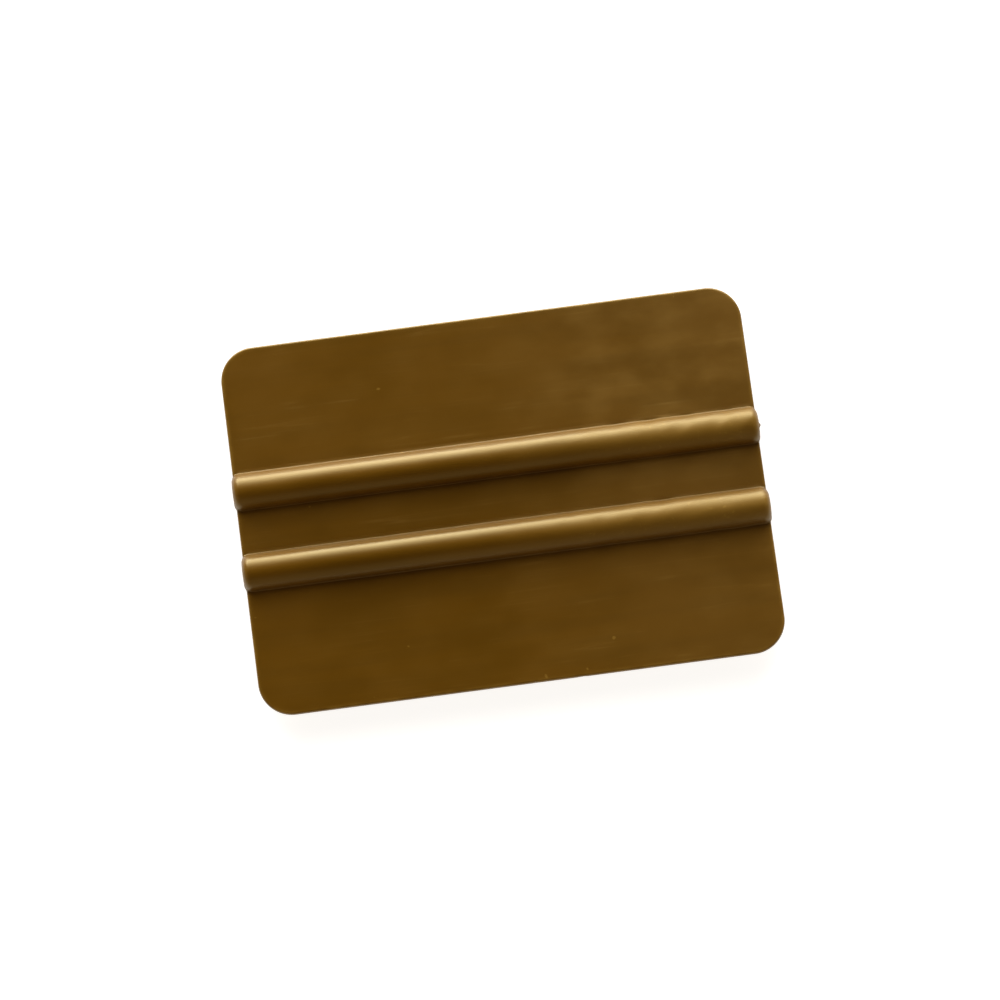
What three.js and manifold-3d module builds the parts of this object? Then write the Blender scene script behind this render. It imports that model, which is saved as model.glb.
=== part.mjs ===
// A hand applicator for laying down adhesive film: one moulded plastic card whose two long
// edges are the working edges, with two round ribs across each face as the grip.
// Millimetres. X runs along the working edges, Y across them and Z up. The applicator lies
// on the crests of its lower ribs, and its origin is at the middle of its underside.
import * as THREE from "three";
import { mergeVertices } from "three/addons/utils/BufferGeometryUtils.js";
import Module from "manifold-3d";

// The card, seen from above
const CARD_LENGTH = 101.6; // of each working edge, with its corners
const CARD_DEPTH = 72; // from one working edge to the other
const CORNER_RADIUS = 6.5;

// The card, seen from the end
const EDGE_THICKNESS = 1.5; // at the working edges
const ROOT_THICKNESS = 2; // from the outer roots of the ribs inwards

// The ribs: round bars that stand out equally on both faces
const RIB_RADIUS = 3.75;
const RIB_OFFSET = 7.9; // of each rib's axis from the card's centre line
const RIB_OVERHANG = 0.35; // of each rib's end beyond the card's side edge
const RIB_END_ROUND = 1.6; // radius of the rounded rim of a rib's end
const ROOT_FILLET = 0.2; // between a rib and the card

// Smoothness of the round stretches
const RIB_FACETS = 26; // an even number, so that a flat facet lies along each crest
const END_STEPS = 4;
const FILLET_STEPS = 4;
const CORNER_STEPS = 12;

const PLASTIC = { color: 0x5f410b, roughness: 0.4, metalness: 0 };

const HALF_TURN = Math.PI;
const QUARTER_TURN = Math.PI / 2;

const wasm = await Module();
wasm.setup();

// Points along an arc in a plane, both of its ends included.
function arcPoints(centreX, centreY, radius, from, to, steps) {
  const arc = new THREE.EllipseCurve(centreX, centreY, radius, radius, from, to, to < from);
  return arc.getPoints(steps);
}

// A closed geometry as a solid that can be joined and cut.
function solidOf(geometry) {
  geometry.deleteAttribute("normal");
  geometry.deleteAttribute("uv");
  const merged = mergeVertices(geometry, 1e-4);
  return new wasm.Manifold(
    new wasm.Mesh({
      numProp: 3,
      vertProperties: new Float32Array(merged.attributes.position.array),
      triVerts: new Uint32Array(merged.index.array),
    }),
  );
}

// A solid as a flat-shaded geometry.
function geometryOf(solid) {
  const { numProp, vertProperties, triVerts } = solid.getMesh();
  const shared = new THREE.BufferGeometry();
  const stored = new THREE.InterleavedBuffer(vertProperties, numProp);
  shared.setAttribute("position", new THREE.InterleavedBufferAttribute(stored, 3, 0));
  shared.setIndex(new THREE.BufferAttribute(triVerts, 1));
  const geometry = shared.toNonIndexed();
  geometry.computeVertexNormals();
  return geometry;
}

// One quarter of the card's end view, from the centre line out to a working edge. Where a rib
// passes, it runs level between the tops of the rib's two root fillets, inside the rib.
function quarterSection() {
  const rootHeight = ROOT_THICKNESS / 2;
  const filletHeight = rootHeight + ROOT_FILLET;
  const filletReach = Math.sqrt((RIB_RADIUS + ROOT_FILLET) ** 2 - filletHeight ** 2);
  const lean = Math.atan2(filletHeight, filletReach);
  const inner = arcPoints(
    RIB_OFFSET - filletReach, filletHeight, ROOT_FILLET, -QUARTER_TURN, -lean, FILLET_STEPS,
  );
  const outer = arcPoints(
    RIB_OFFSET + filletReach, filletHeight, ROOT_FILLET,
    lean - HALF_TURN, -QUARTER_TURN, FILLET_STEPS,
  );
  const workingEdge = new THREE.Vector2(CARD_DEPTH / 2, EDGE_THICKNESS / 2);
  return [...inner, ...outer, workingEdge];
}

// The whole end view: the quarter, mirrored to both sides and both faces.
function cardSection() {
  const quarter = quarterSection();
  const mirrored = (across, up) =>
    quarter.map((point) => new THREE.Vector2(point.x * across, point.y * up));
  return new THREE.Shape([
    ...mirrored(1, 1).reverse(),
    ...mirrored(-1, 1),
    ...mirrored(-1, -1).reverse(),
    ...mirrored(1, -1),
  ]);
}

// The card seen from above: a rectangle with round corners.
function cardPlan() {
  const x = CARD_LENGTH / 2 - CORNER_RADIUS;
  const y = CARD_DEPTH / 2 - CORNER_RADIUS;
  const corners = [[x, y], [-x, y], [-x, -y], [x, -y]];
  return new THREE.Shape(
    corners.flatMap(([cornerX, cornerY], i) =>
      arcPoints(
        cornerX, cornerY, CORNER_RADIUS, i * QUARTER_TURN, (i + 1) * QUARTER_TURN, CORNER_STEPS,
      ),
    ),
  );
}

// The card without its ribs, about its own middle: the end view drawn out along X, trimmed to
// the plan.
function card() {
  const section = new THREE.ExtrudeGeometry(cardSection(), {
    depth: CARD_LENGTH,
    bevelEnabled: false,
  });
  section.translate(0, 0, -CARD_LENGTH / 2);
  section.rotateX(QUARTER_TURN); // the end view's up becomes Z
  section.rotateZ(QUARTER_TURN); // and its length runs along X
  const trimDepth = 4 * ROOT_THICKNESS;
  const plan = new THREE.ExtrudeGeometry(cardPlan(), { depth: trimDepth, bevelEnabled: false });
  plan.translate(0, 0, -trimDepth / 2);
  return solidOf(section).intersect(solidOf(plan));
}

// One rib: a round bar along X with a rounded rim at both ends. Its facets touch the true
// circle from outside, so the bar is exactly as high as the rib.
function rib(offset) {
  const step = (2 * Math.PI) / RIB_FACETS;
  const radius = RIB_RADIUS / Math.cos(step / 2);
  const halfLength = CARD_LENGTH / 2 + RIB_OVERHANG;
  const end = arcPoints(
    radius - RIB_END_ROUND, halfLength - RIB_END_ROUND, RIB_END_ROUND, 0, QUARTER_TURN, END_STEPS,
  );
  const halfProfile = [...end, new THREE.Vector2(0, halfLength)];
  const otherHalf = halfProfile.map((point) => new THREE.Vector2(point.x, -point.y)).reverse();
  const bar = new THREE.LatheGeometry([...otherHalf, ...halfProfile], RIB_FACETS, step / 2);
  bar.rotateZ(-QUARTER_TURN);
  bar.translate(0, offset, 0);
  return solidOf(bar);
}

function applicatorBody() {
  const solid = card().add(rib(RIB_OFFSET)).add(rib(-RIB_OFFSET));
  const mesh = new THREE.Mesh(geometryOf(solid), new THREE.MeshStandardMaterial(PLASTIC));
  mesh.name = "applicator_body";
  mesh.position.z = RIB_RADIUS; // it rests on the crests of its lower ribs
  return mesh;
}

const applicator = new THREE.Group();
applicator.add(applicatorBody());

export default applicator;
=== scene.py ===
"""A moulded nylon hand applicator, lying on a white table under soft studio light.

The card and its ribs are one moulding, so the visual model is one closed mesh. Its shape is
given by a distance formula in millimetres about the card's own middle. A regular grid is laid
round it and pulled onto the surface, which keeps the fine rounds, knocks and parting line even.
"""
import math

import bpy
import numpy as np
from mathutils import Matrix, Vector


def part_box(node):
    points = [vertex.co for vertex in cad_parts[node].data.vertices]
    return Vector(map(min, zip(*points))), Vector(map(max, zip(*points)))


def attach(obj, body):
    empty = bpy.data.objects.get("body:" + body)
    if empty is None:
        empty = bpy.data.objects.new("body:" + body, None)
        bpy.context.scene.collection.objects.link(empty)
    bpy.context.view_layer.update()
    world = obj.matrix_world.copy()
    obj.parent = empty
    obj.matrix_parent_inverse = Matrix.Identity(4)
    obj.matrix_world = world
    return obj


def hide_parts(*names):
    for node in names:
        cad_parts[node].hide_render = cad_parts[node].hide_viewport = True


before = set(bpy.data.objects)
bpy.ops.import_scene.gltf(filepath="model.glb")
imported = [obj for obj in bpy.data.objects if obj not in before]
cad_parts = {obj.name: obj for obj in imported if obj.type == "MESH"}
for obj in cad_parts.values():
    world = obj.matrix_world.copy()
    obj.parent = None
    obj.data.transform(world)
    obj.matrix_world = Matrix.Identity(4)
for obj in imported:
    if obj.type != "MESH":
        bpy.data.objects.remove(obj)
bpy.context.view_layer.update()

NODE = "applicator_body"
MM = 0.001

# The CAD node gives the overall size. Its underside is the lowest line of the lower ribs.
low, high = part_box(NODE)
RIB_RADIUS = (high.z - low.z) / 2 / MM
CARD_DEPTH = (high.y - low.y) / MM
RIB_LENGTH = (high.x - low.x) / MM
MIDDLE = (low + high) / 2

# The rest of the shape, in millimetres
RIB_OVERHANG = 0.35
CARD_LENGTH = RIB_LENGTH - 2 * RIB_OVERHANG
CORNER_RADIUS = 6.5
EDGE_THICKNESS = 1.5
ROOT_THICKNESS = 2.0
EDGE_ROUND = 0.35
RIB_OFFSET = 7.9
RIB_END_ROUND = 1.6
ROOT_FILLET = 0.2

# What moulding and use have left, in millimetres
FACE_WAVE, FACE_WAVE_SPACING = 0.03, 26.0        # the faces are not quite flat
RIB_WAVE, RIB_WAVE_SPACING = 0.02, 14.0          # nor are the ribs quite even
DENT_DEPTH, DENT_SPACING = 0.07, 5.0             # knocks along the right-hand half of the ribs
NICK_DEPTH, NICK_SPACING = 0.10, 5.0             # along the edges
NICK_RARITY = 1.4                                # only ripples higher than this make a nick
FLASH_HEIGHT, FLASH_WIDTH = 0.06, 0.12           # the mould's parting line, round the side
GATE_RADIUS = 0.7                                # the stub where the plastic was let in
GATE_STAND = 0.45                                # how far it stands out from the rib's end
WORN_HALF = (-12.0, 42.0)                        # the wear grows along X between these places
RIPPLE_SPREAD = (0.7, 1.4)                       # the rates of a ripple's slowest and quickest waves

# The grid that is pulled onto the shape, in millimetres and counts
FLAT_STEP = 0.7
STRIP_START = 40.0       # where the columns begin to crowd towards the card's ends
STRIP_STEPS = 34
RIB_STEPS = 30
FILLET_STEPS = 4
CORNER_STEPS = 30
WALL_STEPS = 16
WALL_CROWDING = 1.7      # the side wall's rings crowd towards the parting line
PULLS = 8                # steps that pull the grid onto the shape
LEAST_SLOPE = 0.1        # keeps a pull short where the distance hardly changes

# Where marks are, in millimetres, and how much of them shows
EDGE_WEAR_REACH = 0.5    # pale wear, in from the card's outline
CREASE_SHADE_REACH = 0.55       # painted shade, out from the corner where a rib meets the card
REAR_CREASE_SHADE = 0.3         # how much of the painted shade stays in the corners on the ribs' rear sides, which face the light
HAZE_ACROSS = ((-12.0, 12.0), (0.3, 1.0))    # places along Y, and the haze's share at each

# The nylon's colours
NYLON = (0.118, 0.0505, 0.0005)
NYLON_DARK = (0.100, 0.0430, 0.0003)
# pale haze of use, which also paints in the sheen that a rougher surface catches
NYLON_HAZE = (0.210, 0.108, 0.012)
# pale wear, also used for the painted highlight on the right-hand rib crests
NYLON_WORN_AND_HIGHLIGHT = (0.240, 0.134, 0.020)
# painted shade, for the corners where a rib meets the card
CREASE_SHADE = (0.045, 0.0120, 0.0002)
HIGHLIGHT_TINT = (1.0, 0.84, 0.40)
NYLON_IOR = 1.62

# The nylon's patterns, in millimetres, and how far they are drawn out along X, Y and Z
CLOUD_SIZE = 22
FLOW_SIZE, FLOW_STRETCH = 3, (14, 1, 1)
SMUDGE_SIZE, SMUDGE_STRETCH = 5.5, (1.6, 1, 1)
SCRATCH_SIZE, SCRATCH_STRETCH = 1.2, (60, 1, 1)
SPECK_SIZE = 0.9
PIT_SIZE = 1.8
CHIP_SIZE = 4.0
WAVE_SIZE = 6
SCUFF_SIZE = 1.6
GRAIN_SIZE = 0.25

# Which part of each pattern's noise shows, from not at all to fully
TONE_RANGE = (0.36, 0.62)
SMUDGE_RANGE = (0.34, 0.76)
SPECK_RANGE = (0.60, 0.72)
PIT_RANGE = (0.80, 0.84)
CHIP_RANGE = (0.35, 0.65)
SCRATCH_WIDTH = 0.016              # to each side of the noise's middle value

# How strongly each one colours the nylon
CLOUD_SHARE = 0.6                  # of the tone. The rest of it is flow marks
HAZE_SHARES = (0.08, 0.32)         # where the card is fresh, and where it is used most. The haze is pale wear and also painted sheen
SCRATCH_SHARE = 0.25
# pale rubbed crests, which also paint a broader highlight
RUBBED_AND_HIGHLIGHT_SHARE = 0.4
PIT_SHARE = 0.7
CHIP_SHARES = (0.20, 0.65)         # between the chips, and on them
CREASE_SHADE_RANGE = (0.3, 0.6)
CREASE_SHADE_SHARES = (0.85, 0.60)        # the painted shade's share in clear places, and in smudged ones
SCRATCH_LIMIT = 0.2                # scratches are gone by this much of a rib's rise

# The gloss. It is satin, and changes with the wear
CLOUD_RANGE = (0.3, 0.7)
SATIN = (0.305, 0.345)             # the roughness at each end of the clouds' range
WORN_DULLING = 0.09
HAZE_DULLING = 0.22
CREST_POLISH = -0.02
SCRATCH_DULLING = 0.10
GLANCE = (0.72, 0.93)              # gloss is lost between these, where 0 is face on and 1 edge on

# The small relief, in millimetres
WAVE_DEPTH = 0.05
SCUFF_DEPTH = 0.03
SCUFF_BY_WEAR = (0.2, 1.0)         # a fresh place's share of the scuffs, and a worn one's
SCUFF_RISE = (0.0, 0.6)            # they grow over this much of a rib's rise
SCUFF_BY_RISE = (0.25, 1.0)        # the faces' share of them, and the ribs'
SCRATCH_DEPTH = 0.004
GRAIN_DEPTH = 0.004

# The studio's light, by direction. A height is the direction's Z
OVERHEAD_FILL = 0.05
HORIZON_FILL = 0.55
FILL_COLOUR = (1.0, 0.80, 0.50)
FILL_FADE = (0.45, 0.95)      # the heights between which the horizon's fill becomes the overhead one
FLOOR_FILL = 0.9              # from below
FLOOR_FADE = (-0.04, 0.0)     # the heights between which it gives way to the studio
WALL_LIGHT = 13.6             # a wall of light low on the +Y side
WALL_ACROSS = (0.72, 0.92)    # its sides fade between these cosines of the turn away from +Y
WALL_UP = (0.91, 0.0)         # it is gone at the first of these heights, and full at the second

# The table
FLOOR_HALF = 4.0              # half its width, in metres
FLOOR_GREY = 0.5
FLOOR_ROUGHNESS = 0.9
FLOOR_GLOW = 0.85             # keeps it nearly white under the card's soft shadow

# The camera, from the card's middle
CAMERA_DISTANCE = 0.746
CAMERA_TILT = math.radians(9.0)    # away from straight down, towards the front edge
CAMERA_TURN = math.radians(-4.0)
CAMERA_ROLL = math.radians(-3.55)
CAMERA_SHIFT = Vector((-0.27 * MM, 0, 0))    # moves the whole camera sideways
CAMERA_LENS = 139.3
SENSOR = 36.0
CLIP_END = 20                      # metres


# ---------------------------------------------------------------- the shape, as distances

def ripples(seed, spacing, count=7):
    """A smooth random function of place, about 1 high, that repeats roughly every spacing."""
    rng = np.random.default_rng(seed)
    ways = rng.normal(size=(3, count))
    ways /= np.linalg.norm(ways, axis=0)
    ways *= rng.uniform(*RIPPLE_SPREAD, count) * 2 * math.pi / spacing
    phases = rng.uniform(0, 2 * math.pi, count)

    def height(x, y, z):
        return np.sin(np.stack([x, y, z], axis=-1) @ ways + phases).sum(axis=-1) / math.sqrt(count)

    return height


face_ripple = ripples(seed=3, spacing=FACE_WAVE_SPACING)
rib_ripple = ripples(seed=5, spacing=RIB_WAVE_SPACING)
dent_ripple = ripples(seed=8, spacing=DENT_SPACING)
nick_ripple = ripples(seed=13, spacing=NICK_SPACING)


def worn_share(x):
    """How much of the wear a place along X has: none at the left, all of it at the right."""
    start, end = WORN_HALF
    share = np.clip((x - start) / (end - start), 0, 1)
    return share * share * (3 - 2 * share)


def rounded_edge(a, b, radius):
    """The distance to where two solids overlap, with a round edge between their surfaces."""
    a, b = a + radius, b + radius
    inside = np.minimum(np.maximum(a, b), 0)
    outside = np.hypot(np.maximum(a, 0), np.maximum(b, 0))
    return inside + outside - radius


def filleted_union(a, b, radius):
    """The distance to two joined solids, with a fillet in the corner between them."""
    u, v = np.maximum(radius - a, 0), np.maximum(radius - b, 0)
    return np.maximum(radius, np.minimum(a, b)) - np.hypot(u, v)


def flash(z):
    """How far the parting line stands out at each height."""
    return FLASH_HEIGHT * np.exp(-((z / FLASH_WIDTH) ** 2))


def plan_distance(x, y):
    """The distance to the card's outline, seen from above. It is negative inside."""
    a = np.abs(x) - CARD_LENGTH / 2
    b = np.abs(y) - CARD_DEPTH / 2
    return rounded_edge(a, b, CORNER_RADIUS)


def half_thickness(y):
    """Half the card's thickness: level between the ribs, thinner towards the working edges."""
    root = RIB_OFFSET + RIB_RADIUS
    return np.interp(
        np.abs(y), [root, CARD_DEPTH / 2], [ROOT_THICKNESS / 2, EDGE_THICKNESS / 2]
    )


def card_distance(x, y, z):
    """The distance to the card without its ribs, with its nicks and parting line."""
    nick = NICK_DEPTH * np.maximum(nick_ripple(x, y, z) - NICK_RARITY, 0)
    side = plan_distance(x, y) + nick - flash(z)
    face = np.abs(z) - half_thickness(y) - FACE_WAVE * face_ripple(x, y, z)
    return rounded_edge(side, face, EDGE_ROUND)


def rib_distance(x, y, z, offset):
    """The distance to one rib, with its knocks and rounded ends."""
    dent = DENT_DEPTH * worn_share(x) * np.maximum(dent_ripple(x, y, z), 0)
    wave = RIB_WAVE * (1 + rib_ripple(x, y, z)) / 2
    end = np.abs(x) - RIB_LENGTH / 2 - flash(z)
    side = np.hypot(y - offset, z) - RIB_RADIUS + dent + wave
    return rounded_edge(end, side, RIB_END_ROUND)


def gate_distance(x, y, z):
    """The stub left on the right-hand end of the rear rib."""
    centre = RIB_LENGTH / 2 + GATE_STAND - GATE_RADIUS
    return np.sqrt((x - centre) ** 2 + (y - RIB_OFFSET) ** 2 + z ** 2) - GATE_RADIUS


def body_distance(points):
    """The distance to the whole moulding."""
    x, y, z = points.T
    distance = card_distance(x, y, z)
    for offset in (-RIB_OFFSET, RIB_OFFSET):
        distance = filleted_union(distance, rib_distance(x, y, z, offset), ROOT_FILLET)
    return np.minimum(distance, gate_distance(x, y, z))


def gradient(points, step=1e-3):
    """Which way the distance grows, from small steps along each axis."""
    slopes = []
    for axis in np.eye(3) * step:
        ahead, behind = body_distance(points + axis), body_distance(points - axis)
        slopes.append((ahead - behind) / (2 * step))
    return np.stack(slopes, axis=1)


def pull_onto_surface(points):
    """Moves each point down or up the slope of the distance until it lies on the surface."""
    for _ in range(PULLS):
        slope = gradient(points)
        size = np.maximum((slope ** 2).sum(axis=1), LEAST_SLOPE)
        points = points - slope * (body_distance(points) / size)[:, None]
    return points


# ---------------------------------------------------------------- the grid

def section_rows():
    """The rows' places across the card, close together round the ribs and at the edges."""
    fillet_height = ROOT_THICKNESS / 2 + ROOT_FILLET
    reach = math.sqrt((RIB_RADIUS + ROOT_FILLET) ** 2 - fillet_height ** 2)
    lean = math.atan2(fillet_height, reach)
    tangent = RIB_RADIUS * math.cos(lean)
    corner = CARD_DEPTH / 2 - CORNER_RADIUS

    def level(start, end):
        return np.linspace(start, end, max(2, round((end - start) / FLAT_STEP) + 1))

    rib = RIB_RADIUS * -np.cos(np.linspace(lean, math.pi - lean, RIB_STEPS + 1))
    turn = np.linspace(0, math.pi / 2, CORNER_STEPS + 1)
    stretches = [
        level(0, RIB_OFFSET - reach),
        np.linspace(RIB_OFFSET - reach, RIB_OFFSET - tangent, FILLET_STEPS + 1),
        RIB_OFFSET + rib,
        np.linspace(RIB_OFFSET + tangent, RIB_OFFSET + reach, FILLET_STEPS + 1),
        level(RIB_OFFSET + reach, corner),
        corner + CORNER_RADIUS * np.sin(turn),
    ]
    half = np.concatenate([stretch[1:] for stretch in stretches])
    return np.concatenate([-half[::-1], [0], half])


def outline_reach(y):
    """How far the card reaches along X in each row."""
    into_corner = np.maximum(np.abs(y) - (CARD_DEPTH / 2 - CORNER_RADIUS), 0)
    round_off = CORNER_RADIUS - np.sqrt(np.maximum(CORNER_RADIUS ** 2 - into_corner ** 2, 0))
    on_rib = np.abs(np.abs(y) - RIB_OFFSET) < RIB_RADIUS - RIB_END_ROUND / 2
    return CARD_LENGTH / 2 - round_off + np.where(on_rib, RIB_OVERHANG, 0)


def section_height(y):
    """How far the top surface stands above the card's middle in each row."""
    from_rib = np.abs(y) - RIB_OFFSET
    rib = np.sqrt(np.maximum(RIB_RADIUS ** 2 - from_rib ** 2, 0))
    return np.maximum(half_thickness(y), rib)


def top_sheet():
    """The grid's upper sheet: a row for each place across the card, and columns along it."""
    y = section_rows()[:, None]
    middle = np.linspace(-STRIP_START, STRIP_START, round(2 * STRIP_START / FLAT_STEP) + 1)
    crowding = 1 - (1 - np.linspace(0, 1, STRIP_STEPS + 1)[1:]) ** 2
    reach = outline_reach(y)
    strip = STRIP_START + (reach - STRIP_START) * crowding
    inner = np.broadcast_to(middle, (len(y), len(middle)))
    x = np.concatenate([-strip[:, ::-1], inner, strip], axis=1)
    y = np.broadcast_to(y, x.shape)
    height = section_height(y)
    level = ROOT_THICKNESS / 2
    share = np.clip((height - level) / (RIB_RADIUS - level), 0, 1)
    edge_round = EDGE_ROUND + share * (RIB_END_ROUND - EDGE_ROUND)
    from_edge = np.minimum(reach - np.abs(x), CARD_DEPTH / 2 - np.abs(y))
    short = np.clip(edge_round - from_edge, 0, edge_round)
    drop = edge_round - np.sqrt(edge_round ** 2 - short ** 2)
    return np.stack([x, y, height - drop], axis=2)


def boundary_loop(rows, columns):
    """The grid's border as indices of its points, counterclockwise seen from above."""
    index = np.arange(rows * columns).reshape(rows, columns)
    return np.concatenate([index[0, :-1], index[:-1, -1], index[-1, :0:-1], index[:0:-1, 0]])


def sheet_faces(rows, columns, start, flip):
    """The faces of one sheet, whose points begin at start. Flipped ones face down."""
    index = start + np.arange(rows * columns).reshape(rows, columns)
    quads = np.stack([index[:-1, :-1], index[:-1, 1:], index[1:, 1:], index[1:, :-1]], axis=2)
    quads = quads.reshape(-1, 4)
    return quads[:, ::-1] if flip else quads


def wall_faces(rings):
    """The faces between each ring of the side wall and the next one down."""
    faces = []
    for upper, lower in zip(rings, rings[1:]):
        faces.append(np.stack([upper, lower, np.roll(lower, -1), np.roll(upper, -1)], axis=1))
    return np.concatenate(faces)


def body_grid():
    """The closed grid: an upper and a lower sheet, and the wall between their borders."""
    sheet = top_sheet()
    rows, columns = sheet.shape[:2]
    top = sheet.reshape(-1, 3)
    bottom = top * (1, 1, -1)
    border = boundary_loop(rows, columns)
    rings, points = [border], [top, bottom]
    made = 2 * len(top)
    for step in range(1, WALL_STEPS):
        share = 1 - 2 * step / WALL_STEPS
        height = math.copysign(abs(share) ** WALL_CROWDING, share)
        points.append(top[border] * (1, 1, height))
        rings.append(made + np.arange(len(border)))
        made += len(border)
    rings.append(len(top) + border)
    faces = np.concatenate([
        sheet_faces(rows, columns, 0, flip=False),
        sheet_faces(rows, columns, len(top), flip=True),
        wall_faces(rings),
    ])
    return np.concatenate(points), faces


def add_attribute(mesh, name, values):
    attribute = mesh.attributes.new(name, "FLOAT", "POINT")
    attribute.data.foreach_set("value", values.astype(np.float32))


def add_wear(mesh, x, y, z):
    """Stores where wear and the painted shade in the rib roots are, from 0 to 1, for the nylon to
    read.
    """
    below_face = half_thickness(y) - np.abs(z)
    from_edge = np.hypot(np.maximum(-plan_distance(x, y), 0), np.maximum(below_face, 0))
    from_rib = np.hypot(np.abs(y) - RIB_OFFSET, z) - RIB_RADIUS
    on_card = (below_face > -ROOT_FILLET) & (from_rib > 0)
    add_attribute(mesh, "edge", on_card * np.exp(-((from_edge / EDGE_WEAR_REACH) ** 2)))
    crest = np.clip((np.abs(z) - ROOT_THICKNESS) / (RIB_RADIUS - ROOT_THICKNESS), 0, 1)
    add_attribute(mesh, "crest", crest)
    add_attribute(mesh, "worn", worn_share(x))
    # haze on the right half: pale wear, and painted sheen
    add_attribute(mesh, "hazed", worn_share(x) * np.interp(y, *HAZE_ACROSS))
    # painted shade in the corners where a rib meets the card, weaker on the lit rear sides
    from_root = np.hypot(from_rib, np.abs(z) - half_thickness(y))
    on_rear_side = y > np.sign(y) * RIB_OFFSET
    share = np.where(on_rear_side, REAR_CREASE_SHADE, 1.0)
    add_attribute(mesh, "root", share * np.exp(-((from_root / CREASE_SHADE_REACH) ** 2)))


def make_body():
    """The moulding: the grid pulled onto the shape, about the CAD node's middle."""
    points, faces = body_grid()
    points = pull_onto_surface(points)
    mesh = bpy.data.meshes.new("moulding")
    mesh.from_pydata((points * MM + np.array(MIDDLE)).tolist(), [], faces.tolist())
    mesh.polygons.foreach_set("use_smooth", np.ones(len(mesh.polygons), bool))
    add_wear(mesh, *points.T)
    mesh.update()
    body = bpy.data.objects.new("moulding", mesh)
    bpy.context.scene.collection.objects.link(body)
    return body


# ---------------------------------------------------------------- shader nodes

class NodeKit:
    """Short calls that add shader nodes to one node tree."""

    def __init__(self, tree):
        self.nodes, self.links = tree.nodes, tree.links

    def feed(self, socket, value):
        """Links another node's output to a socket, or sets the socket's own value."""
        if isinstance(value, bpy.types.NodeSocket):
            self.links.new(value, socket)
        else:
            socket.default_value = value

    def math(self, operation, *inputs):
        node = self.nodes.new("ShaderNodeMath")
        node.operation = operation
        for socket, value in zip(node.inputs, inputs):
            self.feed(socket, value)
        return node.outputs[0]

    def ramp(self, value, start, end, low=0.0, high=1.0):
        """Low up to start and high from end on, with a smooth change between them."""
        node = self.nodes.new("ShaderNodeMapRange")
        node.interpolation_type = "SMOOTHSTEP"
        for name, number in zip(
            ("Value", "From Min", "From Max", "To Min", "To Max"), (value, start, end, low, high)
        ):
            self.feed(node.inputs[name], number)
        return node.outputs["Result"]

    def mix(self, share, first, second):
        """A colour between two others: the first at a share of 0, and the second at 1."""
        node = self.nodes.new("ShaderNodeMix")
        node.data_type = "RGBA"
        self.feed(node.inputs["Factor"], share)
        self.feed(node.inputs["A"], first)
        self.feed(node.inputs["B"], second)
        return node.outputs["Result"]

    def noise(self, place, size, detail=2.0, stretch=(1, 1, 1)):
        """Noise with features about this many millimetres across, stretched along each axis."""
        mapping = self.nodes.new("ShaderNodeMapping")
        self.feed(mapping.inputs["Vector"], place)
        mapping.inputs["Scale"].default_value = [1 / (size * MM * along) for along in stretch]
        node = self.nodes.new("ShaderNodeTexNoise")
        node.inputs["Scale"].default_value = 1.0
        node.inputs["Detail"].default_value = detail
        self.feed(node.inputs["Vector"], mapping.outputs[0])
        return node.outputs["Fac"]

    def hairlines(self, place, size, width, stretch):
        """Thin lines, where a stretched noise crosses its middle value."""
        noise = self.noise(place, size, detail=1.0, stretch=stretch)
        off_middle = self.math("ABSOLUTE", self.math("SUBTRACT", noise, 0.5))
        return self.ramp(off_middle, 0.0, width, 1.0, 0.0)

    def attribute(self, name):
        """A value that the mesh stores at each point."""
        node = self.nodes.new("ShaderNodeAttribute")
        node.attribute_name = name
        return node.outputs["Fac"]

    def bump(self, height, depth, below=None):
        """Relief this many millimetres deep, laid over the relief below it."""
        node = self.nodes.new("ShaderNodeBump")
        node.inputs["Distance"].default_value = depth * MM
        self.feed(node.inputs["Height"], height)
        if below is not None:
            self.feed(node.inputs["Normal"], below)
        return node.outputs[0]


# ---------------------------------------------------------------- materials

def colour(rgb):
    return (*rgb, 1.0)


def grey(level):
    return (level, level, level, 1.0)


def new_material(name):
    material = bpy.data.materials.new(name)
    material.use_nodes = True
    return material, NodeKit(material.node_tree), material.node_tree.nodes["Principled BSDF"]


def plain_tone(kit, place, clouds):
    """The colour of fresh nylon: broad clouds, with flow marks drawn out along X."""
    flow = kit.noise(place, FLOW_SIZE, detail=3.0, stretch=FLOW_STRETCH)
    cloud_part = kit.math("MULTIPLY", clouds, CLOUD_SHARE)
    tone = kit.math("ADD", cloud_part, kit.math("MULTIPLY", flow, 1 - CLOUD_SHARE))
    return kit.mix(kit.ramp(tone, *TONE_RANGE), colour(NYLON_DARK), colour(NYLON))


def scratches(kit, place, patches, crest):
    """Fine scratches along X, on the smudged patches of the card's faces."""
    lines = kit.hairlines(place, SCRATCH_SIZE, SCRATCH_WIDTH, SCRATCH_STRETCH)
    on_face = kit.ramp(crest, 0.0, SCRATCH_LIMIT, 1.0, 0.0)
    return kit.math("MULTIPLY", lines, kit.math("MULTIPLY", patches, on_face))


def pale_spots(kit, place, patches, rubbed_and_highlight):
    """Specks on the rubbed patches of the ribs, and a few pale pits anywhere."""
    specks = kit.ramp(kit.noise(place, SPECK_SIZE), *SPECK_RANGE)
    on_patches = kit.math("MULTIPLY", rubbed_and_highlight, patches)
    pits = kit.ramp(kit.noise(place, PIT_SIZE, detail=1.0), *PIT_RANGE, 0.0, PIT_SHARE)
    return kit.math("MAXIMUM", kit.math("MULTIPLY", specks, on_patches), pits)


def nylon_roughness(kit, clouds, changes):
    """Satin that varies with the clouds and the wear, and is fully rough at a flat angle."""
    roughness = kit.ramp(clouds, *CLOUD_RANGE, *SATIN)
    for share, change in changes:
        roughness = kit.math("MULTIPLY_ADD", share, change, roughness)
    facing = kit.nodes.new("ShaderNodeLayerWeight")
    return kit.math("MAXIMUM", roughness, kit.ramp(facing.outputs["Facing"], *GLANCE))


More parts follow.
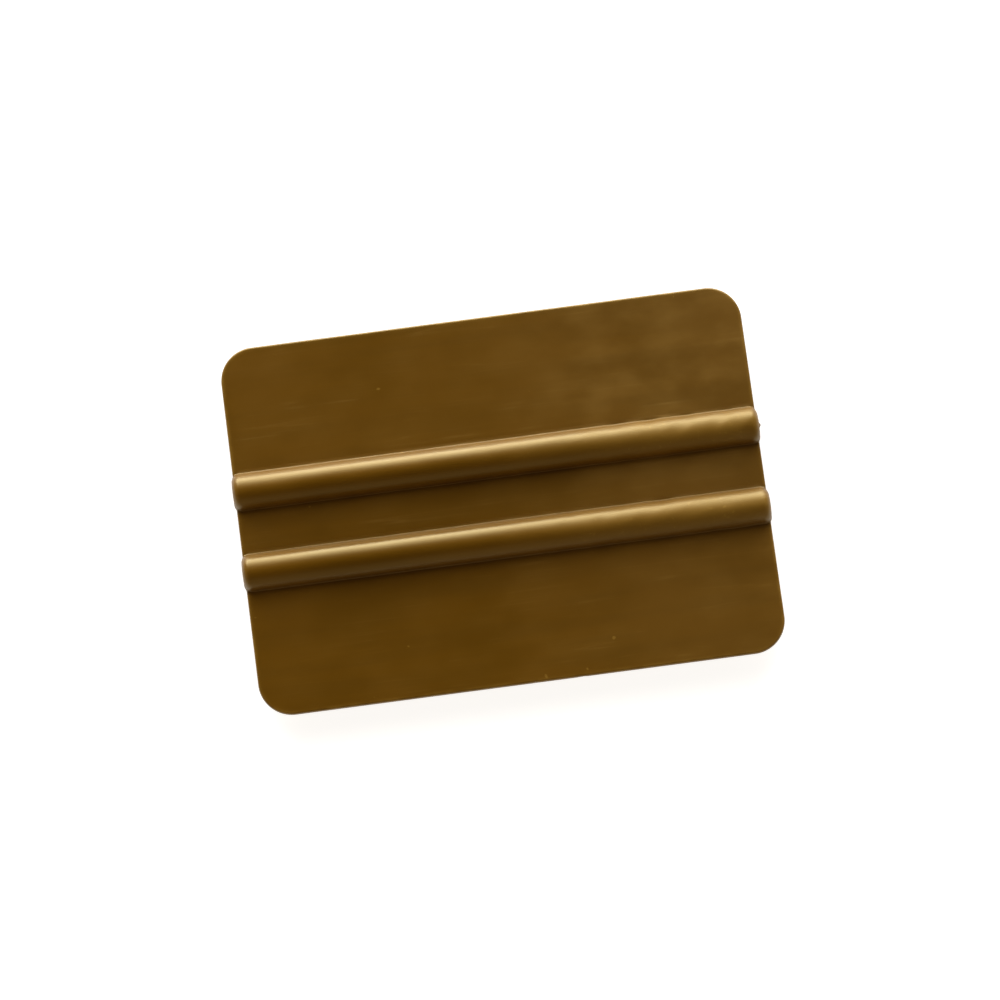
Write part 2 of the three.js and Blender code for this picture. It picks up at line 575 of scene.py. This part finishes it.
def nylon_relief(kit, place, marks, worn, crest):
    """Slow waves, scuffs that grow with the wear, scratches and a fine grain."""
    by_wear = kit.ramp(worn, 0.0, 1.0, *SCUFF_BY_WEAR)
    by_rise = kit.ramp(crest, *SCUFF_RISE, *SCUFF_BY_RISE)
    waves = kit.bump(kit.noise(place, WAVE_SIZE), WAVE_DEPTH)
    spread = kit.math("MULTIPLY", by_wear, by_rise)
    scuffs = kit.math("MULTIPLY", kit.noise(place, SCUFF_SIZE, detail=3.0), spread)
    scuffed = kit.bump(scuffs, SCUFF_DEPTH, waves)
    scratched = kit.bump(kit.math("MULTIPLY", marks, -1.0), SCRATCH_DEPTH, scuffed)
    return kit.bump(kit.noise(place, GRAIN_SIZE), GRAIN_DEPTH, scratched)


def nylon():
    """Dark gold nylon: cloudy with flow marks, hazed and scuffed by use, pale at worn edges. The
    haze is also painted sheen, the rubbed crests are partly a painted highlight, and the rib roots
    hold painted shade.
    """
    material, kit, shader = new_material("gold_nylon")
    place = kit.nodes.new("ShaderNodeTexCoord").outputs["Object"]
    names = ("worn", "hazed", "edge", "crest", "root")
    worn, hazed, edge, crest, root = (kit.attribute(name) for name in names)
    clouds = kit.noise(place, CLOUD_SIZE, detail=3.0)
    smudges = kit.noise(place, SMUDGE_SIZE, detail=5.0, stretch=SMUDGE_STRETCH)
    patches = kit.ramp(smudges, *SMUDGE_RANGE)
    # pale haze of use, which also stands in as painted sheen
    haze_and_sheen = kit.math("MULTIPLY", patches, kit.ramp(hazed, 0.0, 1.0, *HAZE_SHARES))
    marks = scratches(kit, place, patches, crest)
    # rib crests on the right: rubbed wear, and a painted highlight that broadens the gloss
    rubbed_and_highlight = kit.math("MULTIPLY", crest, worn)
    chips = kit.ramp(kit.noise(place, CHIP_SIZE, detail=3.0), *CHIP_RANGE, *CHIP_SHARES)

    layers = (
        (haze_and_sheen, NYLON_HAZE),
        (kit.math("MULTIPLY", marks, SCRATCH_SHARE), NYLON_HAZE),
        (kit.math("MULTIPLY", rubbed_and_highlight, RUBBED_AND_HIGHLIGHT_SHARE), NYLON_WORN_AND_HIGHLIGHT),
        (pale_spots(kit, place, patches, rubbed_and_highlight), NYLON_WORN_AND_HIGHLIGHT),
        (kit.math("MULTIPLY", edge, chips), NYLON_WORN_AND_HIGHLIGHT),
        # painted shade in the rib roots
        (kit.math("MULTIPLY", root, kit.ramp(smudges, *CREASE_SHADE_RANGE, *CREASE_SHADE_SHARES)), CREASE_SHADE),
    )
    tone = plain_tone(kit, place, clouds)
    for share, shade in layers:
        tone = kit.mix(share, tone, colour(shade))
    kit.feed(shader.inputs["Base Color"], tone)

    changes = (
        (worn, WORN_DULLING), (haze_and_sheen, HAZE_DULLING), (crest, CREST_POLISH), (marks, SCRATCH_DULLING)
    )
    kit.feed(shader.inputs["Roughness"], nylon_roughness(kit, clouds, changes))
    kit.feed(shader.inputs["Normal"], nylon_relief(kit, place, marks, worn, crest))
    shader.inputs["IOR"].default_value = NYLON_IOR
    shader.inputs["Specular Tint"].default_value = colour(HIGHLIGHT_TINT)
    return material


def floor_material():
    material, _, shader = new_material("white_table")
    shader.inputs["Base Color"].default_value = grey(FLOOR_GREY)
    shader.inputs["Roughness"].default_value = FLOOR_ROUGHNESS
    shader.inputs["Emission Color"].default_value = grey(1.0)
    shader.inputs["Emission Strength"].default_value = FLOOR_GLOW
    return material


# ---------------------------------------------------------------- stage, light and camera

def make_floor():
    mesh = bpy.data.meshes.new("floor")
    corners = [(x * FLOOR_HALF, y * FLOOR_HALF, 0) for x, y in ((-1, -1), (1, -1), (1, 1), (-1, 1))]
    mesh.from_pydata(corners, [], [(0, 1, 2, 3)])
    floor = bpy.data.objects.new("floor", mesh)
    floor.data.materials.append(floor_material())
    bpy.context.scene.collection.objects.link(floor)


def make_world():
    """A pale studio with a wall of soft light low behind the card. The camera sees plain white."""
    world = bpy.data.worlds.new("studio")
    bpy.context.scene.world = world
    world.use_nodes = True
    world.node_tree.nodes.clear()
    kit = NodeKit(world.node_tree)

    split = kit.nodes.new("ShaderNodeSeparateXYZ")
    kit.feed(split.inputs[0], kit.nodes.new("ShaderNodeTexCoord").outputs["Generated"])
    above = split.outputs["Z"]
    level = kit.math("SQRT", kit.math("SUBTRACT", 1.0, kit.math("MULTIPLY", above, above)))
    behind = kit.math("DIVIDE", split.outputs["Y"], level)
    over_floor = kit.ramp(above, *FLOOR_FADE)
    sky = kit.ramp(above, *FILL_FADE, HORIZON_FILL, OVERHEAD_FILL)
    wall = kit.math("MULTIPLY", kit.ramp(behind, *WALL_ACROSS), kit.ramp(above, *WALL_UP))
    white = kit.mix(over_floor, grey(FLOOR_FILL), kit.mix(wall, grey(0.0), grey(WALL_LIGHT)))
    warm = kit.mix(kit.math("MULTIPLY", sky, over_floor), grey(0.0), colour(FILL_COLOUR))
    lighting = kit.nodes.new("ShaderNodeVectorMath")
    kit.feed(lighting.inputs[0], white)
    kit.feed(lighting.inputs[1], warm)

    light = kit.nodes.new("ShaderNodeBackground")
    kit.feed(light.inputs["Color"], lighting.outputs[0])
    seen = kit.nodes.new("ShaderNodeBackground")
    seen.inputs["Color"].default_value = grey(1.0)
    mix = kit.nodes.new("ShaderNodeMixShader")
    kit.feed(mix.inputs[0], kit.nodes.new("ShaderNodeLightPath").outputs["Is Camera Ray"])
    kit.feed(mix.inputs[1], light.outputs[0])
    kit.feed(mix.inputs[2], seen.outputs[0])
    kit.feed(kit.nodes.new("ShaderNodeOutputWorld").inputs[0], mix.outputs[0])


def make_camera():
    data = bpy.data.cameras.new("camera")
    data.lens = CAMERA_LENS
    data.sensor_width = SENSOR
    data.clip_end = CLIP_END
    camera = bpy.data.objects.new("camera", data)
    turn = (
        Matrix.Rotation(CAMERA_TURN, 4, "Z")
        @ Matrix.Rotation(CAMERA_TILT, 4, "X")
        @ Matrix.Rotation(CAMERA_ROLL, 4, "Z")
    )
    stand_off = Matrix.Translation((0, 0, CAMERA_DISTANCE))
    camera.matrix_world = Matrix.Translation(MIDDLE + CAMERA_SHIFT) @ turn @ stand_off
    bpy.context.scene.collection.objects.link(camera)
    bpy.context.scene.camera = camera


make_camera()
bpy.context.scene.view_settings.view_transform = "Standard"
make_world()
make_floor()

body = make_body()
body.data.materials.append(nylon())
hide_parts(NODE)
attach(body, "root")
